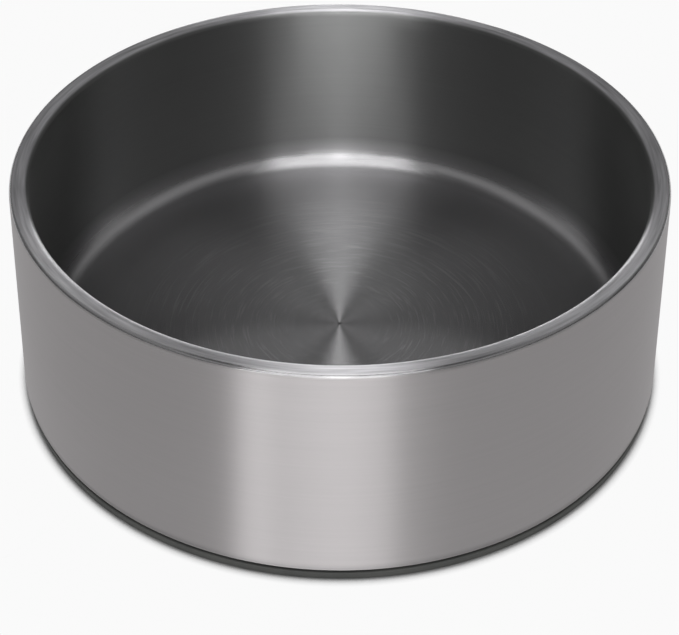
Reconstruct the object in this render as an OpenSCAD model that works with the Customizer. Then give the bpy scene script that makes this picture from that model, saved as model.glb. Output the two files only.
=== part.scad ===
// Double-walled feeding bowl in brushed stainless steel, standing on a rubber foot ring.
// Millimetres. The foot ring stands on z = 0, +Z is up, and the bowl's axis is the Z axis.

/* [Bowl] */
// Outside diameter at the rim
rim_d = 240; // [190:1:280]
// Outside diameter at the bottom edge of the steel
base_d = 250; // [190:1:290]
// Height of the steel, from its bottom edge to the top of the rim
steel_h = 85.5; // [60:0.5:110]
// Height of the food floor above the bottom edge of the steel
floor_rise = 7; // [6:0.5:12]
// Radius of the cove between the food floor and the wall
cove_r = 9; // [6:0.5:20]

/* [Rim] */
// Width of the rim, from the opening to the outside wall
rim_w = 6.8; // [6:0.1:12]
// Radius of the rim's inner edge
rim_in_r = 2.4; // [1.5:0.1:3]
// Radius of the rim's outer edge
rim_out_r = 1.6; // [1.2:0.1:2]
// Height of the turned-down lip that is welded to the outside wall
rim_lip = 2.4; // [2.2:0.1:6]

/* [Sheet] */
// Thickness of the inner bowl
inner_t = 0.8; // [0.6:0.05:1]
// Thickness of the outside wall
shell_t = 0.7; // [0.5:0.05:1]
// Thickness of the base plate
plate_t = 0.6; // [0.4:0.05:0.8]

/* [Base] */
// Radius of the bottom edge of the outside wall
base_bend_r = 3; // [2:0.1:5]
// Width of the base plate's border that lies on the flange
seat_w = 4; // [3:0.5:6]
// Gap between the base plate's edge and the bend of the outside wall
plate_gap = 0.3; // [0.2:0.1:2]
// Height that the base plate is pressed up to make a pocket behind the flange
plate_step = 1.4; // [1.2:0.1:1.6]
// Width of the pocket, where the foot ring hooks over the flange
pocket_w = 4; // [3.5:0.5:6]
// Diameter of the stiffening panel in the middle of the base plate
panel_d = 130; // [60:1:160]
// Height that the stiffening panel is pressed up
panel_rise = 0.8; // [0.7:0.1:1.2]
// Radius of the pressed bends in the base plate
press_r = 1; // [0.9:0.05:1.1]

/* [Foot ring] */
// Height of the foot ring below the steel
foot_h = 3; // [2:0.1:6]
// Distance from the bottom edge of the steel in to the foot ring
foot_inset = 0.6; // [0.4:0.1:5]
// Thickness of the ring's neck, inside the flange's edge
neck_w = 3; // [2:0.5:8]
// How far the ring's bead reaches over the flange
bead_reach = 2; // [1:0.1:3]
// Clearance between the bead and the base plate
bead_gap = 0.3; // [0.1:0.05:0.5]
// Rounding of the rubber edges
rubber_r = 0.5; // [0.2:0.05:0.6]
// Number of grip grooves under the ring
groove_count = 2; // [0:1:3]
// Width of each grip groove
groove_w = 1.4; // [0.8:0.1:2]
// Depth of each grip groove
groove_depth = 0.6; // [0.3:0.1:1.2]

/* [Hidden] */

// Steps round each turned shape
$fn = 180;
// Largest turn between two points of a bend, in degrees
bend_step = 7.5;
// Overrun of a cut past the face that it opens
cut_over = 1;

steel_colour = [0.66, 0.66, 0.67];
plate_colour = [0.56, 0.56, 0.58];
rubber_colour = [0.15, 0.155, 0.15];

rim_r = rim_d / 2;
base_r = base_d / 2;
opening_r = rim_r - rim_w;
panel_r = panel_d / 2;

// Heights above the surface that the bowl stands on
rim_z = foot_h + steel_h;
lip_z = rim_z - rim_lip;
floor_z = foot_h + floor_rise;
seat_z = foot_h + shell_t;
plate_z = seat_z + plate_step;
panel_z = plate_z + panel_rise;

// Both walls lean outwards towards the base by this much for each unit of height
wall_lean = (base_r - rim_r) / steel_h;
wall_foot_r = opening_r + wall_lean * (rim_z - floor_z);
lip_r = rim_r + wall_lean * rim_lip;

// The bottom edge turns by this angle, and its bend takes this much off the flange
base_turn = 90 + atan(wall_lean);
bend_reach = base_bend_r * tan(base_turn / 2);

// From the bend inwards: the plate's edge, its step up, and the flange's edge
plate_r = base_r - bend_reach - plate_gap;
step_r = plate_r - seat_w;
flange_r = step_r - plate_step - pocket_w;

foot_out_r = base_r - foot_inset;
foot_in_r = flange_r - neck_w;
foot_w = foot_out_r - foot_in_r;
bead_r = flange_r + bead_reach;
bead_z = plate_z - bead_gap;

// A face of a sheet is a path of [radius, height, bend radius] corners, and the sheet lies on
// the path's right. A negative thickness puts it on the left.

function corner(path, i) = [path[i][0], path[i][1]];
function heading(a, b) = (b - a) / norm(b - a);
function right_of(d) = [d[1], -d[0]];
function turned(v, angle) = [v[0] * cos(angle) - v[1] * sin(angle), v[0] * sin(angle) + v[1] * cos(angle)];

// Arc of radius r round the corner p of the path a, p, b
function bend(a, p, b, r) =
    let (
        d0 = heading(a, p),
        d1 = heading(p, b),
        turn = atan2(cross(d0, d1), d0 * d1),
        side = sign(turn),
        start = p - d0 * r * tan(abs(turn) / 2),
        centre = start - side * r * right_of(d0),
        steps = ceil(abs(turn) / bend_step)
    )
    [for (k = [0 : steps]) centre + side * r * turned(right_of(d0), turn * k / steps)];

// Points of a path with its bends made round. A closed path goes back to its first corner.
function rounded(path, closed = false) =
    let (n = len(path))
    [
        for (i = [0 : n - 1])
            let (inside = closed || (i > 0 && i < n - 1))
            each inside && path[i][2] > 0
                ? bend(corner(path, (i + n - 1) % n), corner(path, i), corner(path, (i + 1) % n), path[i][2])
                : [corner(path, i)]
    ];

// The sheet's other face: each corner moves square to the sheet by its thickness, and each
// bend's radius grows on the outside of its turn and shrinks on the inside
function other_face(path, t) =
    let (last = len(path) - 1)
    [
        for (i = [0 : last])
            let (
                p = corner(path, i),
                d_in = heading(corner(path, max(i - 1, 0)), corner(path, max(i, 1))),
                d_out = heading(corner(path, min(i, last - 1)), corner(path, min(i + 1, last))),
                q = p + t * (right_of(d_in) + right_of(d_out)) / (1 + d_in * d_out)
            )
            [q[0], q[1], path[i][2] + t * sign(cross(d_in, d_out))]
    ];

function reversed(points) = [for (i = [len(points) - 1 : -1 : 0]) points[i]];

// Turned sheet-metal piece with one face on the path
module turned_sheet(path, t) {
    rotate_extrude()
        polygon(concat(rounded(path), reversed(rounded(other_face(path, t)))));
}

// Food side: floor, cove, wall, flat rim, and the lip that turns down to the outside wall
module inner_bowl() {
    color(steel_colour)
        turned_sheet([
            [0, floor_z, 0],
            [wall_foot_r, floor_z, cove_r],
            [opening_r, rim_z, rim_in_r],
            [rim_r, rim_z, rim_out_r],
            [lip_r, lip_z, 0]
        ], inner_t);
}

// Outside wall from the rim's lip down, round the bottom edge and in to the flange
module outer_shell() {
    color(steel_colour)
        turned_sheet([
            [lip_r, lip_z, 0],
            [base_r, foot_h, base_bend_r],
            [flange_r, foot_h, 0]
        ], shell_t);
}

// Underside: stiffening panel, the raised field behind the bead, and the border on the flange
module base_plate() {
    color(plate_colour)
        turned_sheet([
            [0, panel_z, 0],
            [panel_r, panel_z, press_r],
            [panel_r + panel_rise, plate_z, press_r],
            [step_r - plate_step, plate_z, press_r],
            [step_r, seat_z, press_r],
            [plate_r, seat_z, 0]
        ], -plate_t);
}

// Section of the foot ring: it bears on the flange and hooks over the flange's inner edge
module foot_section() {
    difference() {
        polygon(rounded([
            [foot_in_r, 0, rubber_r],
            [foot_out_r, 0, rubber_r],
            [foot_out_r, foot_h, rubber_r],
            [flange_r, foot_h, 0],
            [flange_r, seat_z, 0],
            [bead_r, seat_z, 0],
            [bead_r, bead_z, rubber_r],
            [foot_in_r, bead_z, rubber_r]
        ], closed = true));
        for (i = [1 : 1 : groove_count])
            translate([foot_in_r + foot_w * i / (groove_count + 1) - groove_w / 2, -cut_over])
                square([groove_w, cut_over + groove_depth]);
    }
}

module foot_ring() {
    color(rubber_colour)
        rotate_extrude()
            foot_section();
}

inner_bowl();
outer_shell();
base_plate();
foot_ring();
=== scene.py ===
"""Dog bowl in brushed steel: its turned pieces and their finishes, the floor, the lamps and the camera."""
import math
from collections import namedtuple
import bpy
from mathutils import Matrix, Vector


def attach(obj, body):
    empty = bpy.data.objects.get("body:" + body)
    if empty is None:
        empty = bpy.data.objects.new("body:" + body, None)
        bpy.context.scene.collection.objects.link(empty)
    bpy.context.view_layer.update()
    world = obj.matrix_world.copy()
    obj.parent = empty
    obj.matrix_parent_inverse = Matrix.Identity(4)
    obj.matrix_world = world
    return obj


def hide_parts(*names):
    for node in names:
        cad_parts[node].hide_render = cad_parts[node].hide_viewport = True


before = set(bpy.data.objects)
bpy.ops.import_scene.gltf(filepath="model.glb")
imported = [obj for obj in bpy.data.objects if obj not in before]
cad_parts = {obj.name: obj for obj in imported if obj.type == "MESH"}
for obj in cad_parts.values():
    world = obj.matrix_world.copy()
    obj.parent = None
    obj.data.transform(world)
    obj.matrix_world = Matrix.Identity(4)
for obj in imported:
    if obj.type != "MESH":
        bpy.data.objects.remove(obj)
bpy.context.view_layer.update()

MM = 0.001

# Sizes of the bowl in metres, the same as the solids have
RIM_R = 120 * MM
BASE_R = 125 * MM
FOOT_H = 3 * MM
STEEL_H = 85.5 * MM
FLOOR_RISE = 7 * MM
COVE_R = 9 * MM
RIM_W = 6.8 * MM
RIM_IN_R = 2.4 * MM
RIM_OUT_R = 1.6 * MM
RIM_LIP = 2.4 * MM
INNER_T = 0.8 * MM
SHELL_T = 0.7 * MM
PLATE_T = 0.6 * MM
BASE_BEND_R = 3 * MM
SEAT_W = 4 * MM
PLATE_GAP = 0.3 * MM
PLATE_STEP = 1.4 * MM
POCKET_W = 4 * MM
PANEL_R = 65 * MM
PANEL_RISE = 0.8 * MM
PRESS_R = 1 * MM
FOOT_INSET = 0.6 * MM
NECK_W = 3 * MM
BEAD_REACH = 2 * MM
BEAD_GAP = 0.3 * MM
RUBBER_R = 0.5 * MM
GROOVES = 2
GROOVE_W = 1.4 * MM
GROOVE_DEPTH = 0.6 * MM

# Rounding of the grooves, which only the dressed ring has
GROOVE_R = 0.1 * MM

# What follows from them
OPENING_R = RIM_R - RIM_W
RIM_Z = FOOT_H + STEEL_H
LIP_Z = RIM_Z - RIM_LIP
FLOOR_Z = FOOT_H + FLOOR_RISE
SEAT_Z = FOOT_H + SHELL_T
PLATE_Z = SEAT_Z + PLATE_STEP
PANEL_Z = PLATE_Z + PANEL_RISE
LEAN = (BASE_R - RIM_R) / STEEL_H
WALL_FOOT_R = OPENING_R + LEAN * (RIM_Z - FLOOR_Z)
LIP_R = RIM_R + LEAN * RIM_LIP
BASE_TURN = math.pi / 2 + math.atan(LEAN)
PLATE_R = BASE_R - BASE_BEND_R * math.tan(BASE_TURN / 2) - PLATE_GAP
STEP_R = PLATE_R - SEAT_W
FLANGE_R = STEP_R - PLATE_STEP - POCKET_W
FOOT_OUT_R = BASE_R - FOOT_INSET
FOOT_IN_R = FLANGE_R - NECK_W
BEAD_R = FLANGE_R + BEAD_REACH
BEAD_Z = PLATE_Z - BEAD_GAP

# Fineness of the turned meshes
STEPS_ROUND = 288
STEPS_PER_BEND = 14
LONGEST_STEP = 9 * MM
# Distance from a bend to the point that holds the straight beside it
HOLD = 0.25 * MM
# Points closer than this become one, as on the axis
WELD = 1e-6
# Edges that fold by more than this stay sharp
SHARP_FOLD = math.radians(50)


class Wire:
    """A value on its way through a node tree. Sums on it add Math nodes."""

    def __init__(self, net, socket):
        self.net = net
        self.socket = socket

    def math(self, operation, *others):
        return self.net.node("ShaderNodeMath", {"operation": operation}, dict(enumerate([self, *others])))

    def __add__(self, other):
        return self.math("ADD", other)

    __radd__ = __add__

    def __sub__(self, other):
        return self.math("SUBTRACT", other)

    def __rsub__(self, other):
        return self.net.node("ShaderNodeMath", {"operation": "SUBTRACT"}, {0: other, 1: self})

    def __mul__(self, other):
        return self.math("MULTIPLY", other)

    __rmul__ = __mul__

    def __truediv__(self, other):
        return self.math("DIVIDE", other)

    def __mod__(self, other):
        return self.math("MODULO", other)

    def clamped(self):
        """Kept between 0 and 1."""
        return self.math("MINIMUM", 1.0).math("MAXIMUM", 0.0)

    def rise(self, start, span):
        """0 up to the start, 1 from a span further on."""
        return ((self - start) / span).clamped()

    def fall(self, end, span):
        """0 from the end on, 1 up to a span before it."""
        return ((end - self) / span).clamped()

    def swing(self):
        """How far a noise lies above or below its middle."""
        return self - 0.5


class Net:
    """A node tree that is being wired."""

    def __init__(self, tree):
        self.tree = tree

    def node(self, kind, settings=None, sockets=None, out=0):
        """Adds a node, sets it and its sockets, and gives one output, or the node itself if out is None."""
        made = self.tree.nodes.new(kind)
        for key, value in (settings or {}).items():
            setattr(made, key, value)
        for key, value in (sockets or {}).items():
            if isinstance(value, Wire):
                self.tree.links.new(value.socket, made.inputs[key])
            else:
                made.inputs[key].default_value = value
        return made if out is None else Wire(self, made.outputs[out])

    def output(self, node, name):
        return Wire(self, node.outputs[name])

    def mix(self, factor, a, b):
        """A colour between two colours. The node's sockets for colours come after those for other values."""
        return self.node("ShaderNodeMix", {"data_type": "RGBA"}, {0: factor, 6: a, 7: b}, out=2)

    def vector(self, x, y, z):
        return self.node("ShaderNodeCombineXYZ", None, {0: x, 1: y, 2: z})

    def split(self, vector):
        """The x, y and z of a vector."""
        made = self.node("ShaderNodeSeparateXYZ", None, {0: vector}, out=None)
        return tuple(self.output(made, axis) for axis in "XYZ")


def section_tree():
    """Turns a section round the Z axis. Its points carry their bends, and a sheet gets its other face."""
    tree = bpy.data.node_groups.new("turned_section", "GeometryNodeTree")
    face = tree.interface
    face.new_socket("Section", in_out="INPUT", socket_type="NodeSocketGeometry")
    for label, kind in [
        ("Steps Round", "NodeSocketInt"),
        ("Steps per Bend", "NodeSocketInt"),
        ("Sheet Thickness", "NodeSocketFloat"),
        ("Is Sheet", "NodeSocketInt"),
        ("Starts on Axis", "NodeSocketInt"),
        ("Weld Distance", "NodeSocketFloat"),
        ("Finish", "NodeSocketMaterial"),
    ]:
        face.new_socket(label, in_out="INPUT", socket_type=kind)
    face.new_socket("Piece", in_out="OUTPUT", socket_type="NodeSocketGeometry")
    net = Net(tree)
    given = net.node("NodeGroupInput", out=None)

    def size(label):
        return net.output(given, label)

    bend = net.node("GeometryNodeInputNamedAttribute", {"data_type": "FLOAT"}, {"Name": "bend"})
    line = net.node("GeometryNodeMeshToCurve", None, {"Mesh": size("Section")})
    path = net.node(
        "GeometryNodeFilletCurve", {"mode": "POLY"},
        {"Curve": line, "Count": size("Steps per Bend"), "Radius": bend, "Limit Radius": False},
    )
    points = net.node(
        "GeometryNodeAttributeDomainSize", {"component": "CURVE"}, {"Geometry": path}, out="Point Count"
    )

    # Rows of the turned grid: the face, then a sheet's other face backwards, then the first row if it closes
    rows_made = points * (size("Is Sheet") + 1.0)
    rows = rows_made + 1.0 - size("Starts on Axis")
    columns = size("Steps Round") + 1.0
    grid = net.node("GeometryNodeMeshGrid", None, {"Vertices X": columns, "Vertices Y": rows}, out="Mesh")
    index = net.node("GeometryNodeInputIndex")
    column = (index / rows).math("FLOOR")
    row = (index - column * rows) % rows_made
    on_back = row.math("GREATER_THAN", points - 0.5)
    step = row + on_back * (2.0 * points - 1.0 - 2.0 * row)

    def sampled(field):
        """How far a vector of the section points outwards and upwards, for each point of the grid."""
        here = net.node(
            "GeometryNodeSampleIndex", {"data_type": "FLOAT_VECTOR", "domain": "POINT"},
            {"Geometry": path, "Value": field, "Index": step.math("ROUND")},
        )
        outwards, _, upwards = net.split(here)
        return outwards, upwards

    radius, height = sampled(net.node("GeometryNodeInputPosition"))
    run, climb = sampled(net.node("GeometryNodeInputTangent"))
    inset = size("Sheet Thickness") * on_back
    # On the axis the section's end is square to it, so only its height moves
    radius = (radius + climb * inset).math("MAXIMUM", 0.0)
    height = height - run * inset
    angle = column * (2.0 * math.pi) / size("Steps Round")
    place = net.vector(radius * angle.math("COSINE"), radius * angle.math("SINE"), height)
    shaped = net.node("GeometryNodeSetPosition", None, {"Geometry": grid, "Position": place})
    welded = net.node(
        "GeometryNodeMergeByDistance", None, {"Geometry": shaped, "Distance": size("Weld Distance")}
    )
    smooth = net.node("GeometryNodeSetShadeSmooth", {"domain": "FACE"}, {"Geometry": welded})
    fold = net.node("GeometryNodeInputMeshEdgeAngle", out="Unsigned Angle")
    creased = net.node(
        "GeometryNodeSetShadeSmooth", {"domain": "EDGE"},
        {"Geometry": smooth, "Selection": fold.math("GREATER_THAN", SHARP_FOLD), "Shade Smooth": False},
    )
    real = net.node("GeometryNodeRealizeInstances", None, {"Geometry": creased})
    dressed = net.node("GeometryNodeSetMaterial", None, {"Geometry": real, "Material": size("Finish")})
    net.node("NodeGroupOutput", None, {"Piece": dressed}, out=None)
    return tree


SECTION_TREE = section_tree()


def reach(corners, i, closed):
    """How far a bend reaches back from its corner."""
    r, z, bend = corners[i]
    count = len(corners)
    if not bend or (not closed and i in (0, count - 1)):
        return 0.0
    before, after = corners[(i - 1) % count], corners[(i + 1) % count]
    d0 = Vector((r - before[0], z - before[1]))
    d1 = Vector((after[0] - r, after[1] - z))
    return bend * math.tan(d0.angle(d1) / 2)


def drawn(corners, closed):
    """A section's corners as (radius, height, bend), with points between them that hold the straights."""
    points = []
    count = len(corners)
    for i, (r, z, bend) in enumerate(corners):
        points.append((r, z, bend))
        if i == count - 1 and not closed:
            break
        following = (i + 1) % count
        a, b = Vector((r, z)), Vector(corners[following][:2])
        length = (b - a).length
        start = reach(corners, i, closed) + HOLD
        end = length - reach(corners, following, closed) - HOLD
        if end - start < HOLD:
            continue
        cuts = max(1, math.ceil((end - start) / LONGEST_STEP))
        for k in range(cuts + 1):
            p = a.lerp(b, (start + (end - start) * k / cuts) / length)
            points.append((p.x, p.y, 0.0))
    return points


def turned(name, corners, finish, sheet=0.0, closed=False, starts_on_axis=False):
    """A turned piece from its section. A sheet lies on its path's right, or on its left if it is negative."""
    points = drawn(corners, closed)
    mesh = bpy.data.meshes.new(name + "_section")
    edges = [(i, i + 1) for i in range(len(points) - 1)] + ([(len(points) - 1, 0)] if closed else [])
    mesh.from_pydata([(r, 0.0, z) for r, z, _ in points], edges, [])
    bends = mesh.attributes.new("bend", "FLOAT", "POINT")
    bends.data.foreach_set("value", [bend for _, _, bend in points])
    pattern = bpy.data.objects.new(name + "_section", mesh)
    bpy.context.scene.collection.objects.link(pattern)
    turn = pattern.modifiers.new("turn", "NODES")
    turn.node_group = SECTION_TREE
    values = {
        "Steps Round": STEPS_ROUND,
        "Steps per Bend": STEPS_PER_BEND,
        "Sheet Thickness": sheet,
        "Is Sheet": int(sheet != 0.0),
        "Starts on Axis": int(starts_on_axis),
        "Weld Distance": WELD,
        "Finish": finish,
    }
    for item in SECTION_TREE.interface.items_tree:
        if item.in_out == "INPUT" and item.name in values:
            turn[item.identifier] = values[item.name]
    shaped = pattern.evaluated_get(bpy.context.evaluated_depsgraph_get())
    made = bpy.data.meshes.new_from_object(shaped)
    made.materials.clear()
    made.materials.append(finish)
    bpy.data.objects.remove(pattern)
    made.name = name
    piece = bpy.data.objects.new(name, made)
    bpy.context.scene.collection.objects.link(piece)
    return piece


def volume_of(mesh):
    """Signed volume of a mesh: below nought, its faces point inwards."""
    mesh.calc_loop_triangles()
    total = 0.0
    for triangle in mesh.loop_triangles:
        a, b, c = (mesh.vertices[i].co for i in triangle.vertices)
        total += a.dot(b.cross(c)) / 6.0
    return total


def fitted(piece, node):
    """Puts a piece in a CAD node's stead, with its faces outwards."""
    if volume_of(piece.data) < 0:
        piece.data.flip_normals()
    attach(piece, "root")
    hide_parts(node)


# Each zone of the steel has a tint and a roughness of its own
FOOD_TINT = (0.57, 0.563, 0.575)
FOOD_ROUGHNESS = 0.25
INNER_WALL_TINT = (0.315, 0.318, 0.315)
INNER_WALL_ROUGHNESS = 0.41
RIM_TINT = (0.725, 0.716, 0.74)
RIM_ROUGHNESS = 0.36
# The rim's outer edge is smoother, and its darker tint is painted shade, standing in for the dark room that
# the edge reflects
RIM_EDGE_SHADE_TINT = (0.48, 0.475, 0.485)
RIM_EDGE_ROUGHNESS = 0.2
WALL_TINT = (0.465, 0.445, 0.449)
WALL_ROUGHNESS = 0.43
# Painted shade: the outside wall's bottom edge gets a darker tint and more roughness, standing in for the
# shadow round the foot that it reflects
BOTTOM_SHADE_TINT = (0.36, 0.35, 0.352)
BOTTOM_SHADE_ROUGHNESS = 0.55
PLATE_TINT = (0.56, 0.56, 0.57)
PLATE_ROUGHNESS = 0.42
# How far the shading goes to each side of a tint, as a share of it
TINT_SPREAD_SHARE = 0.12

# Depth of the brushed lines: the floor's are cut on a lathe, the others with a fine belt
LATHE_DEPTH = 0.04 * MM
BELT_DEPTH = 0.02 * MM

# Where a zone starts and over how much it fades in, as shares of the bend that it starts on
WALL_START_SHARE, WALL_FADE_SHARE = 0.4, 1.0
RIM_START_SHARE, RIM_FADE_SHARE = 0.38, 0.26
EDGE_START_SHARE, EDGE_FADE_SHARE = 0.01, 0.06
LIP_START_SHARE, LIP_FADE_SHARE = 0.42, 0.2
FLOOR_END_SHARE = 0.3
# How far up the wall the painted shade on its bottom edge reaches, and over how much it fades
BOTTOM_SHADE_REACH = 4.5 * MM
BOTTOM_SHADE_FADE = 3.15 * MM

# Brushed lines from fine to broad: noise steps to a metre across them, and steps round them
HAIR = {"across": 6000.0, "along": 6.0, "seed": 3.0}
LINES = {"across": 1500.0, "along": 2.2, "seed": 7.0}
BANDS = {"across": 260.0, "along": 0.8, "seed": 11.0}
LINE_NOISE_ROUGHNESS = 0.6
# A slow change of tone over the whole surface
CLOUD_SCALE, CLOUD_DETAIL = 14.0, 3.0
# How much each of them shades the steel, and roughens it
LINE_SHADE, HAIR_SHADE, BAND_SHADE, CLOUD_SHADE = 0.3, 0.2, 0.25, 0.2
BAND_ROUGHENS, CLOUD_ROUGHENS = 0.03, 0.04
# Some bands of lines are cut deeper than others, and some not at all
BAND_CUT, BAND_UNCUT = 3.0, 0.9
HAIR_RELIEF = 0.1

# Grooves in short arcs on the food floor: where the noise is above a level, between two radii
ARCS = {"across": 1400.0, "along": 3.0, "seed": 23.0, "detail": 1.0}
ARC_LEVEL, ARC_SOFTNESS = 0.57, 0.06
ARCS_FROM, ARCS_FADE_IN = 12 * MM, 15 * MM
ARCS_TO, ARCS_FADE_OUT = 95 * MM, 30 * MM
ARC_GAIN = 0.2
# Streaks along the rim, and the dark spot that the lathe leaves in the middle of the floor
STREAKS = {"across": 750.0, "along": 5.0, "seed": 31.0}
STREAK_GAIN = 1.3
CENTRE_MARK = 1.1 * MM
CENTRE_LOSS = 0.8

# Rubber: its own black, and the grey that dust gives it
RUBBER_BLACK = (0.05, 0.052, 0.05, 1.0)
RUBBER_DUSTY = (0.095, 0.096, 0.09, 1.0)
DUST_SCALE, DUST_DETAIL = 60.0, 5.0
DUST_CONTRAST, DUST_CLEAN = 1.3, 0.25
DUST_ROUGHENS = 0.25
RUBBER_ROUGHNESS = 0.62
RUBBER_SPECULAR = 0.4
GRAIN_SCALE, GRAIN_DETAIL = 1400.0, 3.0
GRAIN_STRENGTH = 0.3
GRAIN_DEPTH = 0.1 * MM

# Keeps the divisions by the radius sound on the axis
OFF_AXIS = 1e-12

Place = namedtuple("Place", "x y z radius")


def empty_net(owner):
    """The net of a material or of the world, with no node in it yet."""
    owner.use_nodes = True
    owner.node_tree.nodes.clear()
    return Net(owner.node_tree)


def place_on_piece(net):
    """Where a point of the surface lies, in the object's own coordinates and from its axis."""
    x, y, z = net.split(net.node("ShaderNodeTexCoord", out="Object"))
    return Place(x, y, z, (x * x + y * y + OFF_AXIS).math("SQRT"))


def shaded(net, colour, roughness, normal, metallic, **constants):
    """The Principled shader with what varies linked and what doesn't set on its sockets."""
    sockets = {"Base Color": colour, "Roughness": roughness, "Normal": normal, "Metallic": metallic}
    sockets.update({key.replace("_", " "): value for key, value in constants.items()})
    shader = net.node("ShaderNodeBsdfPrincipled", None, sockets)
    net.node("ShaderNodeOutputMaterial", None, {"Surface": shader}, out=None)


def rings(net, place, across, along, seed, detail=2.0):
    """Noise in rings round the axis: fine across them, and changing slowly along them."""
    round_x, round_y = (way / place.radius * along for way in (place.x, place.y))
    spot = net.vector(round_x + seed, round_y, place.radius * across)
    return net.node(
        "ShaderNodeTexNoise", {"noise_dimensions": "4D"},
        {
            "Vector": spot, "W": place.z * across,
            "Scale": 1.0, "Detail": detail, "Roughness": LINE_NOISE_ROUGHNESS,
        },
    )


def shades(tint):
    """The dark and the pale end of a tint."""
    dark = tuple(c * (1 - TINT_SPREAD_SHARE) for c in tint)
    pale = tuple(min(c * (1 + TINT_SPREAD_SHARE), 1.0) for c in tint)
    return (*dark, 1.0), (*pale, 1.0)


def brushed_steel(name, tint, roughness, depth, zones=None, marks=None):
    """Steel brushed round the axis. Zones change its tint and roughness, and marks lighten or darken it."""
    mat = bpy.data.materials.new(name)
    net = empty_net(mat)
    place = place_on_piece(net)
    hair = rings(net, place, **HAIR)
    lines = rings(net, place, **LINES)
    bands = rings(net, place, **BANDS)
    cloud = net.node(
        "ShaderNodeTexNoise", {"noise_dimensions": "3D"},
        {"Vector": net.vector(place.x, place.y, place.z), "Scale": CLOUD_SCALE, "Detail": CLOUD_DETAIL},
    )
    dark, pale = shades(tint)
    for mask, zone_tint, zone_roughness in (zones(place) if zones else []):
        zone_dark, zone_pale = shades(zone_tint)
        dark = net.mix(mask, dark, zone_dark)
        pale = net.mix(mask, pale, zone_pale)
        roughness = roughness + mask * (zone_roughness - roughness)
    shade = (
        lines.swing() * LINE_SHADE + hair.swing() * HAIR_SHADE
        + bands.swing() * BAND_SHADE + cloud.swing() * CLOUD_SHADE
    )
    colour = net.mix((shade + 0.5).clamped(), dark, pale)
    if marks:
        gain = marks(net, place)
        colour = net.node("ShaderNodeVectorMath", {"operation": "SCALE"}, {0: colour, "Scale": gain})
    rough = (roughness + bands.swing() * BAND_ROUGHENS + cloud.swing() * CLOUD_ROUGHENS).clamped()
    height = lines * (bands * BAND_CUT - BAND_UNCUT).clamped() + hair * HAIR_RELIEF
    normal = net.node("ShaderNodeBump", None, {"Strength": 1.0, "Distance": depth, "Height": height})
    # A quarter turn lays the highlight across the brushing
    shaded(net, colour, rough, normal, 1.0, Anisotropic=1.0, Anisotropic_Rotation=0.25)
    return mat


def food_zones(place):
    """The inner wall is duller than the floor, the rim is buffed, its outer edge is smoother and painted
    darker as painted shade, and its lip is brushed as the outside.
    """
    z = place.z
    on_wall = z.rise(FLOOR_Z + COVE_R * WALL_START_SHARE, COVE_R * WALL_FADE_SHARE)
    on_rim = z.rise(RIM_Z - RIM_IN_R * RIM_START_SHARE, RIM_IN_R * RIM_FADE_SHARE)
    outside = place.radius.math("GREATER_THAN", RIM_R - RIM_OUT_R)
    # Painted shade: the rim's outer edge is darkened, standing in for the dark room that it reflects
    on_shaded_edge = outside * z.fall(RIM_Z - RIM_OUT_R * EDGE_START_SHARE, RIM_OUT_R * EDGE_FADE_SHARE)
    on_lip = outside * z.fall(RIM_Z - RIM_OUT_R * LIP_START_SHARE, RIM_OUT_R * LIP_FADE_SHARE)
    return [
        (on_wall, INNER_WALL_TINT, INNER_WALL_ROUGHNESS),
        (on_rim, RIM_TINT, RIM_ROUGHNESS),
        (on_shaded_edge, RIM_EDGE_SHADE_TINT, RIM_EDGE_ROUGHNESS),
        (on_lip, WALL_TINT, WALL_ROUGHNESS),
    ]


def wall_zones(place):
    """The bottom edge is painted darker and made rougher: painted shade, standing in for the shadow round the
    foot that it reflects.
    """
    in_bottom_shade = place.z.fall(FOOT_H + BOTTOM_SHADE_REACH, BOTTOM_SHADE_FADE)
    return [(in_bottom_shade, BOTTOM_SHADE_TINT, BOTTOM_SHADE_ROUGHNESS)]


def food_marks(net, place):
    """Grooves in short arcs on the floor, streaks along the rim and the dark spot in the middle."""
    z, radius = place.z, place.radius
    on_floor = z.fall(FLOOR_Z + COVE_R * FLOOR_END_SHARE, COVE_R * FLOOR_END_SHARE)
    arcs = rings(net, place, **ARCS).rise(ARC_LEVEL, ARC_SOFTNESS)
    grooved = on_floor * radius.rise(ARCS_FROM, ARCS_FADE_IN) * radius.fall(ARCS_TO, ARCS_FADE_OUT)
    on_rim = z.rise(RIM_Z - RIM_IN_R, RIM_IN_R)
    streaks = rings(net, place, **STREAKS).swing()
    centre = on_floor * radius.fall(CENTRE_MARK, CENTRE_MARK)
    return 1.0 + arcs * grooved * ARC_GAIN + streaks * on_rim * STREAK_GAIN - centre * CENTRE_LOSS


def foot_rubber():
    """Moulded black rubber, matt, with a fine mould texture and a little grey dust."""
    mat = bpy.data.materials.new("black_rubber")
    net = empty_net(mat)
    at = net.node("ShaderNodeTexCoord", out="Object")
    grain, dust = (
        net.node("ShaderNodeTexNoise", None, {"Vector": at, "Scale": scale, "Detail": detail})
        for scale, detail in [(GRAIN_SCALE, GRAIN_DETAIL), (DUST_SCALE, DUST_DETAIL)]
    )
    colour = net.mix((dust * DUST_CONTRAST - DUST_CLEAN).clamped(), RUBBER_BLACK, RUBBER_DUSTY)
    rough = RUBBER_ROUGHNESS + dust.swing() * DUST_ROUGHENS
    normal = net.node(
        "ShaderNodeBump", None, {"Strength": GRAIN_STRENGTH, "Distance": GRAIN_DEPTH, "Height": grain}
    )
    shaded(net, colour, rough, normal, 0.0, Specular_IOR_Level=RUBBER_SPECULAR)
    return mat


INNER_STEEL = brushed_steel("food_steel", FOOD_TINT, FOOD_ROUGHNESS, LATHE_DEPTH, food_zones, food_marks)
OUTER_STEEL = brushed_steel("wall_steel", WALL_TINT, WALL_ROUGHNESS, BELT_DEPTH, wall_zones)
BASE_STEEL = brushed_steel("plate_steel", PLATE_TINT, PLATE_ROUGHNESS, BELT_DEPTH)
RUBBER = foot_rubber()


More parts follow.
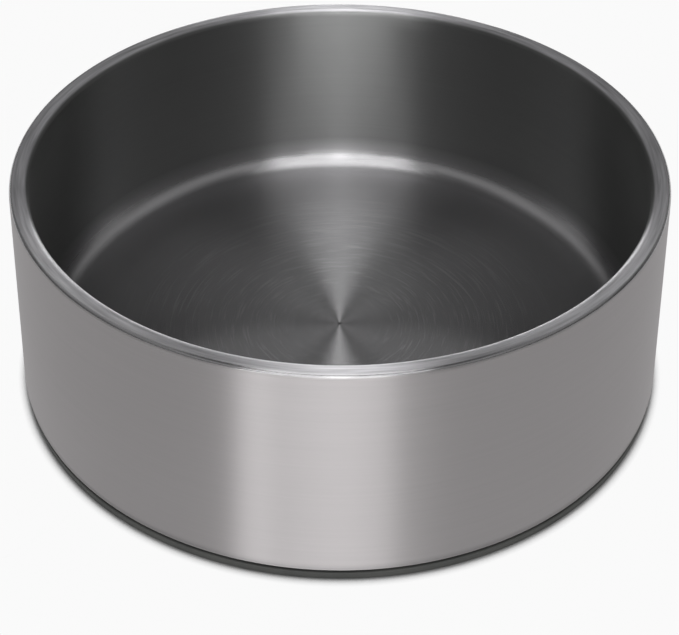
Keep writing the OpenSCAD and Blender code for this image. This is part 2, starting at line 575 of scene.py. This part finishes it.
def inner_bowl():
    """Floor, cove, wall, flat rim, and the lip that turns down to the outside wall."""
    corners = [
        (0.0, FLOOR_Z, 0.0),
        (WALL_FOOT_R, FLOOR_Z, COVE_R),
        (OPENING_R, RIM_Z, RIM_IN_R),
        (RIM_R, RIM_Z, RIM_OUT_R),
        (LIP_R, LIP_Z, 0.0),
    ]
    piece = turned("food_bowl", corners, INNER_STEEL, sheet=INNER_T, starts_on_axis=True)
    fitted(piece, "inner_bowl")


def outer_shell():
    """Outside wall from the rim's lip down, round the bottom edge and in to the flange."""
    corners = [(LIP_R, LIP_Z, 0.0), (BASE_R, FOOT_H, BASE_BEND_R), (FLANGE_R, FOOT_H, 0.0)]
    piece = turned("outside_wall", corners, OUTER_STEEL, sheet=SHELL_T)
    fitted(piece, "outer_shell")


def base_plate():
    """Underside: stiffening panel, the raised field round it, and the border on the flange."""
    corners = [
        (0.0, PANEL_Z, 0.0),
        (PANEL_R, PANEL_Z, PRESS_R),
        (PANEL_R + PANEL_RISE, PLATE_Z, PRESS_R),
        (STEP_R - PLATE_STEP, PLATE_Z, PRESS_R),
        (STEP_R, SEAT_Z, PRESS_R),
        (PLATE_R, SEAT_Z, 0.0),
    ]
    piece = turned("bottom_plate", corners, BASE_STEEL, sheet=-PLATE_T, starts_on_axis=True)
    fitted(piece, "base_plate")


def foot_ring():
    """Rubber ring that bears on the flange and hooks over its inner edge, with grip grooves below."""
    corners = [(FOOT_IN_R, 0.0, RUBBER_R)]
    width = FOOT_OUT_R - FOOT_IN_R
    for i in range(GROOVES):
        start = FOOT_IN_R + width * (i + 1) / (GROOVES + 1) - GROOVE_W / 2
        end = start + GROOVE_W
        corners += [
            (start, 0.0, GROOVE_R), (start, GROOVE_DEPTH, GROOVE_R),
            (end, GROOVE_DEPTH, GROOVE_R), (end, 0.0, GROOVE_R),
        ]
    corners += [
        (FOOT_OUT_R, 0.0, RUBBER_R),
        (FOOT_OUT_R, FOOT_H, RUBBER_R),
        (FLANGE_R, FOOT_H, 0.0),
        (FLANGE_R, SEAT_Z, 0.0),
        (BEAD_R, SEAT_Z, 0.0),
        (BEAD_R, BEAD_Z, RUBBER_R),
        (FOOT_IN_R, BEAD_Z, RUBBER_R),
    ]
    piece = turned("rubber_foot", corners, RUBBER, closed=True)
    fitted(piece, "foot_ring")


inner_bowl()
outer_shell()
base_plate()
foot_ring()

WHITE = (1.0, 1.0, 1.0, 1.0)

# The floor: how white it shows, and how far from the foot its shadow reaches
FLOOR_SIZE = 16.0
FLOOR_WHITE = 0.955
SHADOW_REACH = 3.8 * MM
SHADOW_RAYS = 8
# Openness to the air from which the floor is plain white, and the span over which it gets there
CLEAR_OF_FOOT = (0.62, 0.33)
# The same for the painted shadow that darkens its colour beside the foot, and that colour's two ends
BESIDE_FOOT = (0.45, 0.3)
PAINTED_SHADOW_GREY = (0.3, 0.3, 0.3, 1.0)
PALE_GREY = (0.9, 0.9, 0.9, 1.0)


def pale_floor():
    """White floor. It shows plain white, and keeps the bowl's shadow close round its foot, where its colour
    is also darkened as painted shadow.
    """
    mat = bpy.data.materials.new("pale_floor")
    net = empty_net(mat)
    rays = net.node("ShaderNodeLightPath", out=None)
    seen = (
        net.output(rays, "Is Camera Ray") + net.output(rays, "Is Glossy Ray")
        + net.output(rays, "Is Transmission Ray")
    ).clamped()
    openness = net.node(
        "ShaderNodeAmbientOcclusion", {"samples": SHADOW_RAYS}, {"Distance": SHADOW_REACH}, out="AO"
    )
    # Painted shadow: the floor's colour darkens where the foot hems it in
    grey = net.mix(openness.rise(*BESIDE_FOOT), PAINTED_SHADOW_GREY, PALE_GREY)
    lit = net.node("ShaderNodeBsdfDiffuse", None, {"Color": grey})
    plain = net.node("ShaderNodeEmission", None, {"Color": WHITE, "Strength": FLOOR_WHITE})
    both = net.node("ShaderNodeMixShader", None, {0: seen * openness.rise(*CLEAR_OF_FOOT), 1: lit, 2: plain})
    net.node("ShaderNodeOutputMaterial", None, {"Surface": both}, out=None)
    mesh = bpy.data.meshes.new("pale_floor")
    half = FLOOR_SIZE / 2
    corners = [(-half, -half, 0), (half, -half, 0), (half, half, 0), (-half, half, 0)]
    mesh.from_pydata(corners, [], [(0, 1, 2, 3)])
    mesh.materials.append(mat)
    floor = bpy.data.objects.new("pale_floor", mesh)
    bpy.context.scene.collection.objects.link(floor)


# Distances of the lamps from the bowl. Near ones light the front rim more than the back rim
LAMP_DISTANCE = 2.4
OVERHEAD_DISTANCE = 0.85

# (name, height, side, tall, wide, radiance, distance): height and tall are degrees, counted from the front
# over the top, and side and wide are shares of the distance
LAMPS = [
    ("front_box", 46, 0.0, 26, 0.84, 1.25, LAMP_DISTANCE),
    ("front_foot", 25, 0.0, 16, 0.42, 1.25, LAMP_DISTANCE),
    ("front_strip", 40, 0.0, 44, 0.09, 0.75, LAMP_DISTANCE),
    ("top_box", 86, 0.0, 24, 0.44, 1.9, OVERHEAD_DISTANCE),
    ("top_strip", 108, 0.0, 24, 0.11, 1.5, OVERHEAD_DISTANCE),
    ("back_card", 172, 0.0, 16, 0.38, 3.2, LAMP_DISTANCE),
    ("low_box", 9, -0.02, 16, 0.64, 4.15, LAMP_DISTANCE),
    ("low_side_box", 2.3, -0.415, 4, 0.18, 23.0, LAMP_DISTANCE),
]


def softbox(name, height, side, tall, wide, radiance, distance):
    """A flat lamp that faces the bowl. Its power follows from its radiance and its area."""
    lamp = bpy.data.lights.new(name, "AREA")
    lamp.shape = "RECTANGLE"
    lamp.size = wide * distance
    lamp.size_y = 2 * distance * math.tan(math.radians(tall / 2))
    lamp.energy = radiance * math.pi * lamp.size * lamp.size_y
    made = bpy.data.objects.new(name, lamp)
    up = math.radians(height)
    way = Vector((0, -math.cos(up), math.sin(up))) * math.sqrt(1 - side * side) + Vector((side, 0, 0))
    made.matrix_world = Matrix.LocRotScale(way * distance, (-way).to_track_quat("-Z", "Y"), None)
    made.visible_camera = False
    bpy.context.scene.collection.objects.link(made)


# Parts of the room by a direction's share backwards, upwards or sideways: where each starts, and its fade
BEHIND = (0.40, 0.25)
LOW = (0.10, 0.10)
HIGH = (0.45, 0.12)
OVERHEAD = (0.84, 0.08)
ASIDE = (0.50, 0.12)
CORNER = (0.12, 0.14)
# Light that comes from everywhere, from the high ring, and from the low back
ROOM_LIGHT = 0.045
RING_LIGHT = 0.37
LOW_BACK_LIGHT = 0.27
# What the ring lacks at its sides and behind, what its back corners keep, and what the low ones lack
RING_ASIDE_LOSS_SHARE = 0.25
RING_BEHIND_LOSS = 0.32
RING_CORNER_KEEP = 0.30
LOW_CORNER_LOSS = 0.1


def studio_air():
    """The room round the bowl: a pale ring half way up with a gap at the back, and a paler low back."""
    world = bpy.data.worlds.new("studio_air")
    bpy.context.scene.world = world
    net = empty_net(world)
    side, back, up = net.split(net.node("ShaderNodeTexCoord", out="Generated"))
    off_middle = side.math("ABSOLUTE")
    behind = back.rise(*BEHIND)
    high = up.rise(*HIGH)
    corner = off_middle.rise(*CORNER)
    ring = high * (1.0 - up.rise(*OVERHEAD)) * (1.0 - off_middle.rise(*ASIDE) * RING_ASIDE_LOSS_SHARE)
    ring_light = RING_LIGHT - behind * (RING_BEHIND_LOSS - corner * RING_CORNER_KEEP)
    low_back = up.rise(*LOW) * (1.0 - high) * behind
    level = ROOM_LIGHT + ring * ring_light + low_back * (LOW_BACK_LIGHT - corner * LOW_CORNER_LOSS)
    # The camera sees it as white as the floor
    seen = net.output(net.node("ShaderNodeLightPath", out=None), "Is Camera Ray")
    shown = level + seen * (FLOOR_WHITE - level)
    air = net.node("ShaderNodeBackground", None, {"Color": WHITE, "Strength": shown})
    net.node("ShaderNodeOutputWorld", None, {"Surface": air}, out=None)


# Where the photograph was taken from, and how: metres, radians, and millimetres of lens and sensor
CAMERA_AT = (0.0, -0.46866, 0.3993)
CAMERA_PITCH = 0.6893
CAMERA_ROLL = 0.0042
LENS = 80.78
SENSOR_WIDTH = 36.0
SEEN_FROM, SEEN_TO = 0.01, 50.0


def camera():
    """The photograph's viewpoint."""
    eye = bpy.data.cameras.new("camera")
    eye.lens = LENS
    eye.sensor_width = SENSOR_WIDTH
    eye.clip_start, eye.clip_end = SEEN_FROM, SEEN_TO
    made = bpy.data.objects.new("camera", eye)
    turn = Matrix.Rotation(math.pi / 2 - CAMERA_PITCH, 4, "X") @ Matrix.Rotation(CAMERA_ROLL, 4, "Z")
    made.matrix_world = Matrix.Translation(CAMERA_AT) @ turn
    bpy.context.scene.collection.objects.link(made)
    bpy.context.scene.camera = made


pale_floor()
studio_air()
for lamp in LAMPS:
    softbox(*lamp)
camera()
bpy.context.scene.view_settings.view_transform = "Standard"
